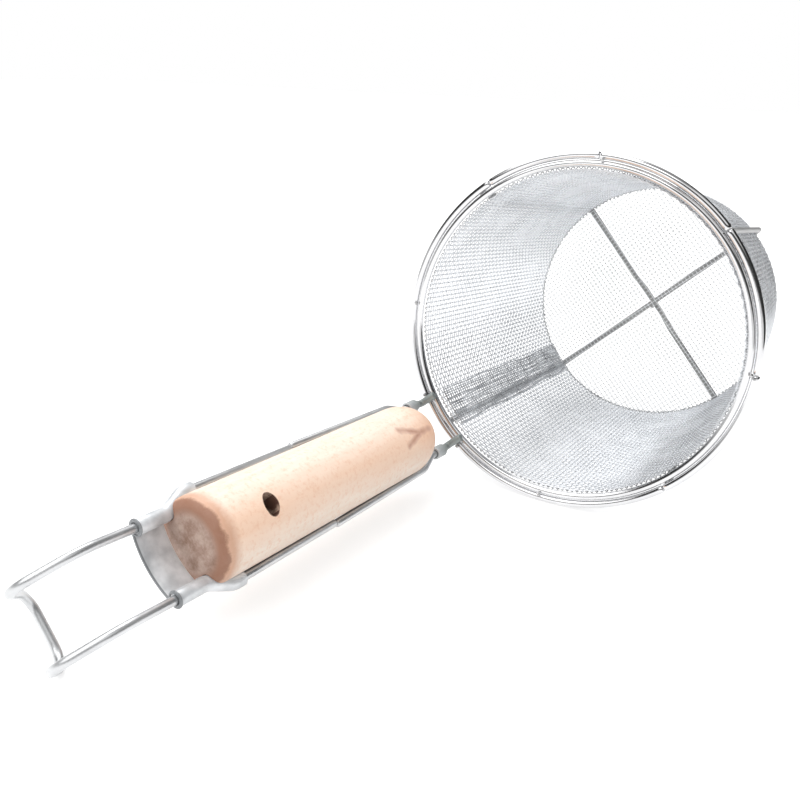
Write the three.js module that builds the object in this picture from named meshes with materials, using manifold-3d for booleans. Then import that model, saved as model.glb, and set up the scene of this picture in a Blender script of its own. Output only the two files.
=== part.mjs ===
// A deep noodle strainer: a round woven-wire basket on a wooden grip that is held between two wires,
// with a wire hook at the end. It is modelled upright, basket axis along Z with the mouth at Z = 0 and
// the handle on the +X side, and is then laid on its side on the table. Millimetres, +Z up.
import * as THREE from 'three';
import { mergeGeometries, mergeVertices } from 'three/addons/utils/BufferGeometryUtils.js';
import Module from 'manifold-3d';

const wasm = await Module();
wasm.setup();

// Clearance between pieces that touch on the real strainer
const gap = 0.3;

// Basket: ring sizes are wire diameters, radii are to the wire's centre line
const rimRadius = 68.4;
const rimWire = 2.8;
const outerWire = 3.0;
const basketDepth = 138;
const bottomDraw = 6.2;
const meshThickness = 1.0;
const meshBar = 3.6;
const wallOpeningsRound = 24;
const wallOpeningsDown = 8;
const bottomOpeningsAcross = 10;
const seamWidth = 17;
const seamOffset = -3;
const strapWire = 2.8;
const strapLanding = 24;
const longStrapAngle = THREE.MathUtils.degToRad(1.5);
const crossStrapAngle = THREE.MathUtils.degToRad(89);

// Handle: places along it are measured from where its wires would meet the outer ring
const handleLean = THREE.MathUtils.degToRad(6);
const frameWire = 3.2;
const legSpacing = 22.2;
const frontSpacing = 23.2;
const rearSpacing = 25.6;
const gripFrontSpacing = 30.6;
const gripRearSpacing = 34;
const frontClipStart = 9.2;
const frontClipLength = 6.4;
const rearClipLength = 12.6;
const clipSheet = 0.8;
const clipSag = 2.6;
const sleeveReach = 13.5;
const shoulderFromButt = 9.2;

// Wooden grip
const gripFromClip = 2.9;
const gripLength = 140;
const gripFrontDiameter = 29.6;
const gripRearDiameter = 31.2;
const gripDome = 19;
const buttRound = 4.4;
const gripRaise = 2.5;
const hangingHole = 8.5;
const hangingHoleFromButt = 25;
const hangingHoleOffset = 1.4;
const clipFromButt = 1.4;

// Hook: the wires lean in a little, turn outwards, double back and are joined by a crossbar
const hookStraight = 23;
const hookDip = 3;
const hookHeight = 19.5;
const hookTurnReach = 13;
const hookReach = 27;
const hookReturn = 15.5;

// Weld nubs
const nub = 1.6;

// Derived places
const wireSides = 8;
const meshSegments = 2 * wallOpeningsRound;
const outerRadius = rimRadius + rimWire / 2 + gap + outerWire / 2;
const wallTopRadius = rimRadius - rimWire / 2 - gap - meshThickness / 2;
const bottomRadius = wallTopRadius - bottomDraw;
const handleFoot = new THREE.Vector3(outerRadius + outerWire / 2, 0, 0);
const gripStart = frontClipStart + frontClipLength + gripFromClip;
const gripEnd = gripStart + gripLength;
const rearClipStart = gripEnd + clipFromButt;
const rearClipEnd = rearClipStart + rearClipLength;

const polished = { color: 0xdadcde, roughness: 0.18, metalness: 1 };
const woven = { color: 0xb7babd, roughness: 0.4, metalness: 1 };
const sheetSteel = { color: 0xbfc2c4, roughness: 0.35, metalness: 1 };
const weldSteel = { color: 0x9b9da0, roughness: 0.5, metalness: 1 };
const beech = { color: 0xe8cba6, roughness: 0.6, metalness: 0 };

const basket = new THREE.Group();
const handle = new THREE.Group();
handle.position.copy(handleFoot);
handle.rotation.y = handleLean;
basket.add(handle);

function addPiece(group, name, geometry, look) {
  const piece = new THREE.Mesh(geometry, new THREE.MeshStandardMaterial(look));
  piece.name = name;
  group.add(piece);
  return piece;
}

// Solids for cutting: a closed mesh with shared vertices and no flat triangles
function toSolid(geometry) {
  const plain = new THREE.BufferGeometry();
  plain.setAttribute('position', geometry.getAttribute('position').clone());
  if (geometry.index) plain.setIndex(geometry.index.clone());
  const merged = mergeVertices(plain);
  const corners = merged.index.array;
  const kept = [];
  for (let i = 0; i < corners.length; i += 3) {
    const [a, b, c] = corners.slice(i, i + 3);
    if (a !== b && b !== c && c !== a) kept.push(a, b, c);
  }
  const vertProperties = new Float32Array(merged.getAttribute('position').array);
  return new wasm.Manifold(new wasm.Mesh({ numProp: 3, vertProperties, triVerts: new Uint32Array(kept) }));
}

function fromSolid(solid) {
  const mesh = solid.getMesh();
  const geometry = new THREE.BufferGeometry();
  geometry.setAttribute('position', new THREE.BufferAttribute(mesh.vertProperties, 3));
  geometry.setIndex(new THREE.BufferAttribute(mesh.triVerts, 1));
  return geometry;
}

// A path whose steps fall on the points given
class WirePath extends THREE.Curve {
  constructor(points) {
    super();
    this.points = points;
  }

  getPoint(t, target = new THREE.Vector3()) {
    const place = t * (this.points.length - 1);
    const index = Math.min(Math.floor(place), this.points.length - 2);
    return target.lerpVectors(this.points[index], this.points[index + 1], place - index);
  }

  getPointAt(t, target) {
    return this.getPoint(t, target);
  }

  getTangentAt(t, target = new THREE.Vector3()) {
    const last = this.points.length - 1;
    const index = Math.round(t * last);
    const after = this.points[Math.min(index + 1, last)].clone().sub(this.points[index]).normalize();
    const before = this.points[index].clone().sub(this.points[Math.max(index - 1, 0)]).normalize();
    return target.copy(after).add(before).normalize();
  }
}

// Points of a wire that runs from corner to corner, each turned with its own bend radius
function bentWire(corners, stepsPerBend) {
  const points = [];
  corners.forEach(({ at, bend }, index) => {
    if (!bend) {
      points.push(at.clone());
      return;
    }
    const along = at.clone().sub(corners[index - 1].at).normalize();
    const onward = corners[index + 1].at.clone().sub(at).normalize();
    const turn = along.angleTo(onward);
    const start = at.clone().addScaledVector(along, -bend * Math.tan(turn / 2));
    const inward = onward.clone().addScaledVector(along, -onward.dot(along)).normalize();
    for (let step = 0; step <= stepsPerBend; step += 1) {
      const angle = (turn * step) / stepsPerBend;
      const point = start.clone().addScaledVector(along, bend * Math.sin(angle));
      points.push(point.addScaledVector(inward, bend * (1 - Math.cos(angle))));
    }
  });
  return points;
}

function wireGeometry(points, diameter) {
  const section = Array.from({ length: wireSides }, (unused, index) => {
    const angle = (2 * Math.PI * index) / wireSides;
    return new THREE.Vector2(Math.cos(angle), Math.sin(angle)).multiplyScalar(diameter / 2);
  });
  const options = { steps: points.length - 1, extrudePath: new WirePath(points), bevelEnabled: false };
  return new THREE.ExtrudeGeometry(new THREE.Shape(section), options);
}

// A body turned about Z from a closed outline of [radius, height] points
function turned(outline, segments) {
  const profile = outline.map(([radius, height]) => new THREE.Vector2(radius, height));
  const geometry = new THREE.LatheGeometry(profile, segments);
  geometry.rotateX(Math.PI / 2);
  return geometry;
}

// Radius of the middle of the mesh wall, which draws in evenly from the rim to the bottom
function wallRadius(depth) {
  return wallTopRadius - bottomDraw * (depth / basketDepth);
}

// Outline of a band of the wall between two depths, offset inwards or outwards from its middle
function wallBand(fromDepth, toDepth, innerOffset, outerOffset) {
  const outside = [toDepth, fromDepth].map((depth) => [wallRadius(depth) + outerOffset, -depth]);
  const inside = [fromDepth, toDepth].map((depth) => [wallRadius(depth) + innerOffset, -depth]);
  return [...outside, ...inside, outside[0]];
}

// Boxes through the wall, in rows round it: the mesh is modelled as a coarse grid of bars
function wallOpenings() {
  const turn = (2 * Math.PI) / wallOpeningsRound;
  const rise = (basketDepth - meshBar) / wallOpeningsDown;
  const openings = [];
  for (let row = 0; row < wallOpeningsDown; row += 1) {
    const depth = meshBar / 2 + rise * (row + 0.5);
    const width = turn * wallRadius(depth) - meshBar;
    for (let place = 0; place < wallOpeningsRound; place += 1) {
      const opening = new THREE.BoxGeometry(6 * meshThickness, width, rise - meshBar);
      opening.translate(wallRadius(depth), 0, -depth);
      opening.rotateZ(turn * (place + 0.5));
      openings.push(opening);
    }
  }
  return toSolid(mergeGeometries(openings));
}

// Boxes through the bottom, in a square grid, trimmed so that a plain edge is left round it
function bottomOpenings(discRadius) {
  const pitch = (2 * discRadius) / bottomOpeningsAcross;
  const edge = discRadius - meshBar;
  const openings = [];
  const places = Array.from(
    { length: bottomOpeningsAcross },
    (unused, place) => pitch * (place + 0.5) - discRadius,
  );
  for (const x of places) {
    for (const y of places.filter((place) => Math.hypot(x, place) < edge)) {
      const opening = new THREE.BoxGeometry(pitch - meshBar, pitch - meshBar, 4 * meshThickness);
      opening.translate(x, y, -basketDepth);
      openings.push(opening);
    }
  }
  const inside = new THREE.CylinderGeometry(edge, edge, 8 * meshThickness, meshSegments);
  inside.rotateX(Math.PI / 2);
  inside.translate(0, 0, -basketDepth);
  return toSolid(mergeGeometries(openings)).intersect(toSolid(inside));
}

function addMesh() {
  const half = meshThickness / 2;
  const wall = toSolid(turned(wallBand(0, basketDepth, -half, half), meshSegments));
  addPiece(basket, 'side_mesh', fromSolid(wall.subtract(wallOpenings())), woven);

  const discRadius = bottomRadius - half - gap;
  const low = -basketDepth - half;
  const high = -basketDepth + half;
  const bottom = toSolid(turned([[0, low], [discRadius, low], [discRadius, high], [0, high]], meshSegments));
  addPiece(basket, 'bottom_mesh', fromSolid(bottom.subtract(bottomOpenings(discRadius))), woven);

  // The two ends of the side mesh lap inside the wall, below the handle
  const lapInner = -half - gap - meshThickness;
  const lapEnd = basketDepth - half - 2 * gap;
  const band = toSolid(turned(wallBand(rimWire, lapEnd, lapInner, -half - gap), meshSegments));
  const window = new THREE.BoxGeometry(2 * outerRadius, seamWidth, 2 * basketDepth);
  window.translate(outerRadius, seamOffset, -basketDepth / 2);
  addPiece(basket, 'seam_lap', fromSolid(band.intersect(toSolid(window))), woven);
}

function addRings() {
  const segments = 80;
  const rim = new THREE.TorusGeometry(rimRadius, rimWire / 2, wireSides, segments);
  addPiece(basket, 'rim_ring', rim, polished);
  const outer = new THREE.TorusGeometry(outerRadius, outerWire / 2, wireSides, segments);
  addPiece(basket, 'outer_ring', outer, polished);
}

// A strap runs from the outer ring down the wall, under the bottom and up the other side
const strapHeight = -basketDepth - meshThickness / 2 - gap - strapWire / 2;

// Half of a strap, from its end below the outer ring down to the corner of the bottom
function strapSide() {
  const wallOffset = meshThickness / 2 + gap + strapWire / 2;
  const start = { r: outerRadius, z: -outerWire / 2 - 2 * gap };
  const landing = { r: wallRadius(strapLanding) + wallOffset, z: -strapLanding };
  const corner = { r: bottomRadius + wallOffset, z: strapHeight, bend: 0.6 * strapWire };
  return [start, landing, corner];
}

function addStrap(name, angle, dip) {
  const direction = new THREE.Vector3(Math.cos(angle), Math.sin(angle), 0);
  const corner = ({ r, z, bend }) => ({ at: direction.clone().multiplyScalar(r).setZ(z), bend });
  const dipReach = 3 * strapWire;
  const dipped = (step) => strapHeight - (Math.abs(step) === 1 ? dip : 0);
  const under = dip ? [-2, -1, 1, 2].map((step) => ({ r: -step * dipReach, z: dipped(step) })) : [];
  const farSide = strapSide().map(({ r, z, bend }) => ({ r: -r, z, bend })).reverse();
  const points = bentWire([...strapSide(), ...under, ...farSide].map(corner), 3);
  addPiece(basket, name, wireGeometry(points, strapWire), polished);
}

const strapCross = strapWire + gap;

function addStraps() {
  addStrap('long_strap', longStrapAngle, 0);
  addStrap('cross_strap', crossStrapAngle, strapCross);
}

// Corners of the frame wire on one side, from its tip on the rim to the hook's crossbar.
// Handle places are (outwards from the basket, across, along the handle).
function frameSide(side) {
  const across = (spacing) => (side * spacing) / 2;
  const lift = outerWire / 2 + gap + frameWire / 2;
  const tip = new THREE.Vector3(rimRadius - rimWire, across(legSpacing), lift);
  tip.sub(handleFoot).applyAxisAngle(new THREE.Vector3(0, 1, 0), -handleLean);
  const place = (out, spacing, along, bend) => ({ at: new THREE.Vector3(out, across(spacing), along), bend });
  const shoulder = 8;
  const hookEnd = rearClipEnd + hookStraight + hookHeight;
  return [
    { at: tip },
    place(0, legSpacing, lift / Math.cos(handleLean), 2.2),
    place(0, frontSpacing, frontClipStart - gap),
    place(0, frontSpacing, gripStart, shoulder),
    place(0, gripFrontSpacing, gripStart + gripDome / 2, shoulder),
    place(0, gripRearSpacing, gripEnd - sleeveReach),
    place(0, gripRearSpacing, gripEnd - shoulderFromButt, shoulder),
    place(0, rearSpacing, gripEnd + clipFromButt / 2, shoulder),
    place(0, rearSpacing, rearClipEnd + gap),
    place(-hookDip, rearSpacing, rearClipEnd + hookStraight, 16),
    place(hookTurnReach, rearSpacing, hookEnd, 8),
    place(hookReach, rearSpacing, hookEnd - hookReturn, 7.5),
  ];
}

const framePoints = bentWire([...frameSide(-1), ...frameSide(1).reverse()], 5);

// A clip: a sheet that bridges the two wires on the outer side and is rolled round each of them
function clipGeometry(spacing, length) {
  const inner = frameWire / 2 + gap;
  const outer = inner + clipSheet;
  const half = spacing / 2;
  const rollSteps = 9;
  const sagSteps = 6;
  const roll = THREE.MathUtils.degToRad(275);
  const arc = (radius) => Array.from({ length: rollSteps + 1 }, (unused, step) => {
    const angle = (roll * (rollSteps - step)) / rollSteps;
    return [radius * Math.cos(angle), half + radius * Math.sin(angle)];
  });
  const face = (radius) => Array.from({ length: sagSteps - 1 }, (unused, step) => {
    const across = 1 - (2 * (step + 1)) / sagSteps;
    return [radius + clipSag * (1 - across ** 2), half * across];
  });
  const mirror = (points) => points.map(([out, across]) => [out, -across]).reverse();
  const outside = [...arc(outer), ...face(outer), ...mirror(arc(outer))];
  const inside = [...arc(inner), ...face(inner), ...mirror(arc(inner))].reverse();
  const outline = [...outside, ...inside].map(([out, across]) => new THREE.Vector2(out, across));
  return new THREE.ExtrudeGeometry(new THREE.Shape(outline), { depth: length, bevelEnabled: false });
}

// Tubes round both frame wires where they bend in behind the grip's shoulder
function bendTubes(diameter) {
  const start = gripEnd - sleeveReach - gap;
  const end = rearClipStart + frameWire;
  const tubes = [-1, 1].map((side) => {
    const bend = framePoints.filter(({ y, z }) => side * y > 0 && z > start && z < end);
    return toSolid(wireGeometry(bend, diameter));
  });
  return tubes[0].add(tubes[1]);
}

const wireBore = frameWire + 2 * gap;
const sleeveDiameter = wireBore + 2 * clipSheet;

// The rear clip's rolls run on as sleeves round the bends of the wires, up the sides of the grip
function addClips() {
  const front = addPiece(handle, 'front_clip', clipGeometry(frontSpacing, frontClipLength), sheetSteel);
  front.position.z = frontClipStart;
  const plate = clipGeometry(rearSpacing, rearClipLength);
  plate.translate(0, 0, rearClipStart);
  const sleeves = bendTubes(sleeveDiameter).subtract(toSolid(wireGeometry(framePoints, wireBore)));
  addPiece(handle, 'rear_clip', fromSolid(toSolid(plate).add(sleeves)), sheetSteel);
}

// The grip is turned, grooved along its sides for the frame wire and its sleeves, and drilled for hanging
function addGrip() {
  const outline = [[0, gripStart]];
  const arcSteps = 6;
  const frontRadius = gripFrontDiameter / 2;
  const rearRadius = gripRearDiameter / 2;
  for (let step = 1; step <= arcSteps; step += 1) {
    const angle = (Math.PI / 2) * (step / arcSteps);
    outline.push([frontRadius * Math.sin(angle), gripStart + gripDome * (1 - Math.cos(angle))]);
  }
  for (let step = 0; step <= arcSteps; step += 1) {
    const angle = (Math.PI / 2) * (step / arcSteps);
    const radius = rearRadius - buttRound * (1 - Math.cos(angle));
    outline.push([radius, gripEnd - buttRound * (1 - Math.sin(angle))]);
  }
  outline.push([0, gripEnd]);
  const body = turned(outline, 32);
  body.translate(-gripRaise, 0, 0);
  const grooves = toSolid(wireGeometry(framePoints, wireBore)).add(bendTubes(sleeveDiameter + 2 * gap));
  const hole = new THREE.CylinderGeometry(hangingHole / 2, hangingHole / 2, 2 * gripRearDiameter, 16);
  hole.rotateZ(Math.PI / 2);
  hole.translate(0, hangingHoleOffset, gripEnd - hangingHoleFromButt);
  const grip = toSolid(body).subtract(grooves).subtract(toSolid(hole));
  addPiece(handle, 'wood_grip', fromSolid(grip), beech);
}

// A weld nub lies in the corner where two wires cross or run side by side
function addNub(name, radius, angle, height) {
  const bead = new THREE.SphereGeometry(nub / 2, 10, 6);
  const piece = addPiece(basket, name, bead, weldSteel);
  piece.position.set(radius * Math.cos(angle), radius * Math.sin(angle), height);
}

function addNubs() {
  const seat = nub / 2 + gap;
  const besideOuter = outerWire / 2 + seat;

  // Tacks between the two rings, half way between the straps
  const ringMiddle = (rimRadius + outerRadius) / 2;
  const tackHeight = Math.sqrt(besideOuter ** 2 - (outerRadius - ringMiddle) ** 2);
  for (const corner of [45, 135, 225, 315]) {
    addNub(`ring_tack_${corner}`, ringMiddle, THREE.MathUtils.degToRad(corner), tackHeight);
  }

  // Below the outer ring, beside each end of the straps
  const besideEnd = (strapWire / 2 + seat) / outerRadius;
  addNub('strap_weld_near', outerRadius, longStrapAngle + besideEnd, -besideOuter);
  addNub('strap_weld_right', outerRadius, crossStrapAngle + besideEnd, -besideOuter);
  addNub('strap_weld_far', outerRadius, longStrapAngle + Math.PI + besideEnd, -besideOuter);
  addNub('strap_weld_left', outerRadius, crossStrapAngle + Math.PI + besideEnd, -besideOuter);

  // On the outer ring, beside each leg of the frame wire
  const legLift = outerWire / 2 + gap + frameWire / 2;
  const besideLeg = Math.sqrt((frameWire / 2 + seat) ** 2 - (legLift - besideOuter) ** 2);
  const legAngle = Math.asin((legSpacing / 2 + besideLeg) / outerRadius);
  addNub('leg_weld_left', outerRadius, -legAngle, besideOuter);
  addNub('leg_weld_right', outerRadius, legAngle, besideOuter);

  // In the corner where the two straps cross under the bottom
  const besideCross = Math.sqrt((strapWire / 2 + seat) ** 2 - (strapCross / 2) ** 2);
  const crossAngle = (longStrapAngle + crossStrapAngle) / 2;
  addNub('cross_weld', besideCross * Math.SQRT2, crossAngle, strapHeight - strapCross / 2);
}

addMesh();
addRings();
addStraps();
addPiece(handle, 'frame_wire', wireGeometry(framePoints, frameWire), polished);
addClips();
addGrip();
addNubs();

// Laid on its side, the strainer rests on the outer ring, on the lower edge of the wall and on the hook.
// The tilt is set by the ring and the wall's edge, and the roll by the hook's lower corner.
function restingTurn() {
  const ringOut = outerRadius + outerWire / 2;
  const edgeOut = bottomRadius + meshThickness / 2;
  const tilt = Math.atan2(ringOut - edgeOut, basketDepth);
  const corners = framePoints.map((point) => handle.localToWorld(point.clone()));
  const reach = outerRadius * Math.cos(tilt) + outerWire / 2 - frameWire / 2;
  let roll = 0;
  for (const { x, y, z } of corners) {
    const share = (reach + z * Math.sin(tilt)) / Math.cos(tilt) / Math.hypot(x, y);
    if (share < 1 && z > rearClipEnd) roll = Math.max(roll, Math.atan2(y, x) + Math.acos(share));
  }
  const up = new THREE.Vector3(-Math.cos(roll), -Math.sin(roll), Math.tan(tilt)).normalize();
  const away = new THREE.Vector3(0, 0, -1).addScaledVector(up, up.z).normalize();
  const turn = new THREE.Matrix4().makeBasis(away.clone().cross(up), away, up).transpose();
  return new THREE.Quaternion().setFromRotationMatrix(turn);
}

basket.updateMatrixWorld(true);
const strainer = new THREE.Group();
basket.quaternion.copy(restingTurn());
strainer.add(basket);

// The origin is on the table, under the middle of the strainer's box
const box = new THREE.Box3().setFromObject(strainer, true);
const middle = box.getCenter(new THREE.Vector3());
basket.position.set(-middle.x, -middle.y, -box.min.z);

export default strainer;
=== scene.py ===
"""Looks of a deep wire-mesh noodle strainer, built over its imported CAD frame.

Sizes are in millimetres, as in the CAD source, and pieces are made in two local frames. The basket frame
has its origin at the middle of the mouth, X towards the handle and Z out of the mouth. The handle frame has
X outwards from the basket, Y across and Z along the handle.
"""
import math
import random

import bmesh
import bpy
import numpy as np
from mathutils import Matrix, Vector, noise


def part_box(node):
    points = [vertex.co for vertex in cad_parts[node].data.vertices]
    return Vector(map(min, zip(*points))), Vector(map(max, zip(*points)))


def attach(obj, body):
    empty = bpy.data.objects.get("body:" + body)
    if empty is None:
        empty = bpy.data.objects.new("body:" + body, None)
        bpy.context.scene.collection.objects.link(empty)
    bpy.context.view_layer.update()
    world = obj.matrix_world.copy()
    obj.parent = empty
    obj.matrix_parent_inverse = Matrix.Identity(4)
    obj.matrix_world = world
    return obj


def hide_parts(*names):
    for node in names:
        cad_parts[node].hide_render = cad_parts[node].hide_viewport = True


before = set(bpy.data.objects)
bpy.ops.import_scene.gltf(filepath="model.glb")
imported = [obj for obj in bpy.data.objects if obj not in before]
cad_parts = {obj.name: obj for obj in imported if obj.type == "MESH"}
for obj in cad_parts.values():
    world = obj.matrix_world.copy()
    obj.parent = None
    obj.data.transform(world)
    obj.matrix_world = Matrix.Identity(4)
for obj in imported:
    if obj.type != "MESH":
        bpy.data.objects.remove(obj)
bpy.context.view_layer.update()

MM = 0.001
GAP = 0.3

# Rings and straps
RIM_RADIUS = 68.4
RIM_WIRE = 2.8
OUTER_WIRE = 3.0
# Where the lengths of the outer ring meet, in degrees from the handle
RING_JOINTS = (88, 135, 180, 226, 264)
STRAP_WIRE = 2.8
STRAP_LANDING = 24.0
LONG_STRAP_ANGLE = math.radians(1.5)
CROSS_STRAP_ANGLE = math.radians(89)
CROSSING_BEND = 2

# Mesh
BASKET_DEPTH = 138.0
BOTTOM_DRAW = 6.2
MESH_THICKNESS = 1.0
MESH_PITCH = 2.1
MESH_WIRE = 0.52
MESH_SLACK = 1.3
SLACK_WAVES = 3
BOTTOM_MESH_WIRE = 0.38
HEM_WIRE = 0.36
HEM_TURN = 0.42
SEAM_WIDTH = 17.0
SEAM_OFFSET = -3.0
SEAM_WIRE = 0.8
SEAM_SWAY = 1.1
SEAM_SWAY_LENGTH = 22
# How far the least and the most frayed hoop ends stand out from the seam
SEAM_FRAY = (-0.6, 1.0)

# Frame wire and hook
HANDLE_LEAN = math.radians(6)
FRAME_WIRE = 3.2
LEG_SPACING = 22.2
FRONT_SPACING = 23.2
REAR_SPACING = 25.6
GRIP_FRONT_SPACING = 30.6
GRIP_REAR_SPACING = 34.0
LEG_BEND = 2.2
SHOULDER_BEND = 8
SHOULDER_FROM_BUTT = 9.2
FRAME_JOINT = 93.0
JOINT_CRACK = 0.4
JOINT_STEP = 0.6
HOOK_STRAIGHT = 23.0
HOOK_DIP = 3.0
HOOK_DIP_BEND = 16
HOOK_HEIGHT = 19.5
HOOK_TURN_REACH = 13.0
HOOK_TURN_BEND = 8
HOOK_REACH = 27.0
HOOK_RETURN = 15.5
HOOK_BAR_BEND = 7.5

# Clips
FRONT_CLIP_START = 9.2
FRONT_CLIP_LENGTH = 6.4
REAR_CLIP_LENGTH = 12.6
CLIP_SHEET = 0.8
CLIP_SAG = 2.6
CLIP_ROLL = math.radians(275)
CLIP_EDGE = 0.15
CLIP_FROM_BUTT = 1.4
SLEEVE_REACH = 13.5
SOLDER_REACH = 2.5

# Grip
GRIP_FROM_CLIP = 2.9
GRIP_LENGTH = 140.0
GRIP_FRONT_DIAMETER = 29.6
GRIP_REAR_DIAMETER = 31.2
GRIP_DOME = 19.0
GRIP_RAISE = 2.5
BUTT_ROUND = 4.4
HANGING_HOLE = 8.5
HOLE_SQUASH = 0.74
HANGING_HOLE_FROM_BUTT = 25.0
HANGING_HOLE_OFFSET = 1.4

# Sides of a round section
MESH_SIDES = 6
SEAM_SIDES = 8
STRAP_SIDES = 14
WIRE_SIDES = 20
SLEEVE_SIDES = 28
GRIP_SIDES = 96

# Derived places
OUTER_RADIUS = RIM_RADIUS + RIM_WIRE / 2 + GAP + OUTER_WIRE / 2
WALL_TOP_RADIUS = RIM_RADIUS - RIM_WIRE / 2 - GAP - MESH_THICKNESS / 2
BOTTOM_RADIUS = WALL_TOP_RADIUS - BOTTOM_DRAW
STRAP_HEIGHT = -BASKET_DEPTH - MESH_THICKNESS / 2 - GAP - STRAP_WIRE / 2
STRAP_CROSS = STRAP_WIRE + GAP
HANDLE_FOOT = OUTER_RADIUS + OUTER_WIRE / 2
GRIP_START = FRONT_CLIP_START + FRONT_CLIP_LENGTH + GRIP_FROM_CLIP
GRIP_END = GRIP_START + GRIP_LENGTH
HOLE_HEIGHT = GRIP_END - HANGING_HOLE_FROM_BUTT
REAR_CLIP_START = GRIP_END + CLIP_FROM_BUTT
REAR_CLIP_END = REAR_CLIP_START + REAR_CLIP_LENGTH
RAIL_START = GRIP_START + GRIP_DOME / 2
JOINT_SHARE = (FRAME_JOINT - RAIL_START) / (GRIP_END - SLEEVE_REACH - RAIL_START)
JOINT_SPACING = GRIP_FRONT_SPACING + (GRIP_REAR_SPACING - GRIP_FRONT_SPACING) * JOINT_SHARE
WIRE_BORE = FRAME_WIRE / 2 + GAP
SLEEVE_RADIUS = WIRE_BORE + CLIP_SHEET


def node_points(name):
    """A CAD node's vertices, in metres."""
    return np.array([vertex.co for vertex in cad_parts[name].data.vertices])


def find_basket_frame():
    """The basket frame in the row frame: the rim gives its plane and the frame wire its X side."""
    rim = node_points("rim_ring")
    mouth = Vector(rim.mean(axis=0))
    flat_axis = Vector(np.linalg.svd(rim - rim.mean(axis=0), full_matrices=False)[2][2])
    inside = Vector(node_points("bottom_mesh").mean(axis=0)) - mouth
    out = flat_axis if flat_axis.dot(inside) < 0 else -flat_axis
    side = Vector(node_points("frame_wire").mean(axis=0)) - mouth
    side = (side - out * side.dot(out)).normalized()
    turn = Matrix((side, out.cross(side), out)).transposed().to_4x4()
    return Matrix.Translation(mouth) @ turn


BASKET = find_basket_frame()
HANDLE = BASKET @ Matrix.Translation((HANDLE_FOOT * MM, 0, 0)) @ Matrix.Rotation(HANDLE_LEAN, 4, "Y")


def make_piece(name, vertices, faces, place, material, slot, replaced):
    """Adds a smooth-shaded piece from millimetre vertices in the local frame place."""
    piece = add_body(name, vertices, faces, place)
    finish_piece(piece, material, replaced)
    return piece


def add_body(name, vertices, faces, place):
    """A mesh object whose vertices are in the row frame."""
    mesh = bpy.data.meshes.new(name)
    mesh.from_pydata((np.asarray(vertices, float) * MM).tolist(), [], faces)
    mesh.transform(place)
    mesh.update()
    body = bpy.data.objects.new(name, mesh)
    bpy.context.scene.collection.objects.link(body)
    return body


def finish_piece(piece, material, replaced):
    """Gives a piece its material, its body and the CAD nodes that it replaces."""
    piece.data.shade_smooth()
    piece.data.materials.append(material)
    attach(piece, "root")
    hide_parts(*replaced)


# Wires


def tube(path, radius, sides, closed=False, first_normal=None):
    """Vertices and faces of a round wire along a path of points, with flat ends unless it is closed.

    The radius is one number or one for each point."""
    path = np.asarray(path, float)
    count = len(path)
    ahead = np.roll(path, -1, axis=0) - path
    behind = path - np.roll(path, 1, axis=0)
    if not closed:
        ahead[-1] = behind[-1]
        behind[0] = ahead[0]
    along = ahead / np.linalg.norm(ahead, axis=1)[:, None] + behind / np.linalg.norm(behind, axis=1)[:, None]
    along /= np.linalg.norm(along, axis=1)[:, None]
    if first_normal is None:
        first_normal = np.eye(3)[np.argmin(np.abs(along[0]))]
    normals = np.empty_like(path)
    normal = np.asarray(first_normal, float)
    for index in range(count):
        normal = normal - along[index] * normal.dot(along[index])
        normal /= np.linalg.norm(normal)
        normals[index] = normal
    across = np.cross(along, normals)
    angles = np.arange(sides) * (2 * math.pi / sides)
    cosines = np.cos(angles)[None, :, None]
    sines = np.sin(angles)[None, :, None]
    ring = cosines * normals[:, None, :] + sines * across[:, None, :]
    vertices = (path[:, None, :] + np.reshape(radius, (-1, 1, 1)) * ring).reshape(-1, 3)
    rows = np.arange(count if closed else count - 1)[:, None]
    columns = np.arange(sides)[None, :]
    after_row = (rows + 1) % count
    after_column = (columns + 1) % sides
    quads = np.stack([
        rows * sides + columns,
        rows * sides + after_column,
        after_row * sides + after_column,
        after_row * sides + columns,
    ], axis=-1).reshape(-1, 4)
    faces = quads.tolist()
    if not closed:
        faces.append(list(range(sides))[::-1])
        faces.append([(count - 1) * sides + column for column in range(sides)])
    return vertices, faces


def rounded_wire(path, radius, sides):
    """A wire whose ends are rounded over a share of its radius."""
    share = 0.4
    path = [np.asarray(point) for point in path]
    rounding = np.linspace(0, 1, 5)
    depths = share * radius * (1 - np.sqrt(1 - rounding ** 2))
    first = (path[1] - path[0]) / np.linalg.norm(path[1] - path[0])
    last = (path[-2] - path[-1]) / np.linalg.norm(path[-2] - path[-1])
    starts = [path[0] + first * depth for depth in depths]
    stops = [path[-1] + last * depth for depth in depths[::-1]]
    swell = radius * (1 - share + share * rounding)
    radii = np.concatenate([swell, np.full(len(path) - 2, radius), swell[::-1]])
    return tube([*starts, *path[1:-1], *stops], radii, sides)


def sleeve(path, inner, outer, sides):
    """A hollow tube along a path, with flat rims."""
    outside, faces = tube(path, outer, sides, first_normal=(0, 1, 0))
    inside = tube(path, inner, sides, first_normal=(0, 1, 0))[0]
    count = len(outside)
    walls = faces[:-2]
    faces = [*walls, *[[corner + count for corner in reversed(face)] for face in walls]]
    for first in (0, count - sides):
        for column in range(sides):
            after = (column + 1) % sides
            rim = [first + column, first + after, first + after + count, first + column + count]
            faces.append(rim if first else rim[::-1])
    return np.concatenate([outside, inside]), faces


def join_tubes(tubes):
    """One set of vertices and faces from several."""
    vertices = []
    faces = []
    start = 0
    for some_vertices, some_faces in tubes:
        vertices.append(some_vertices)
        faces.extend([corner + start for corner in face] for face in some_faces)
        start += len(some_vertices)
    return np.concatenate(vertices), faces


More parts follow.
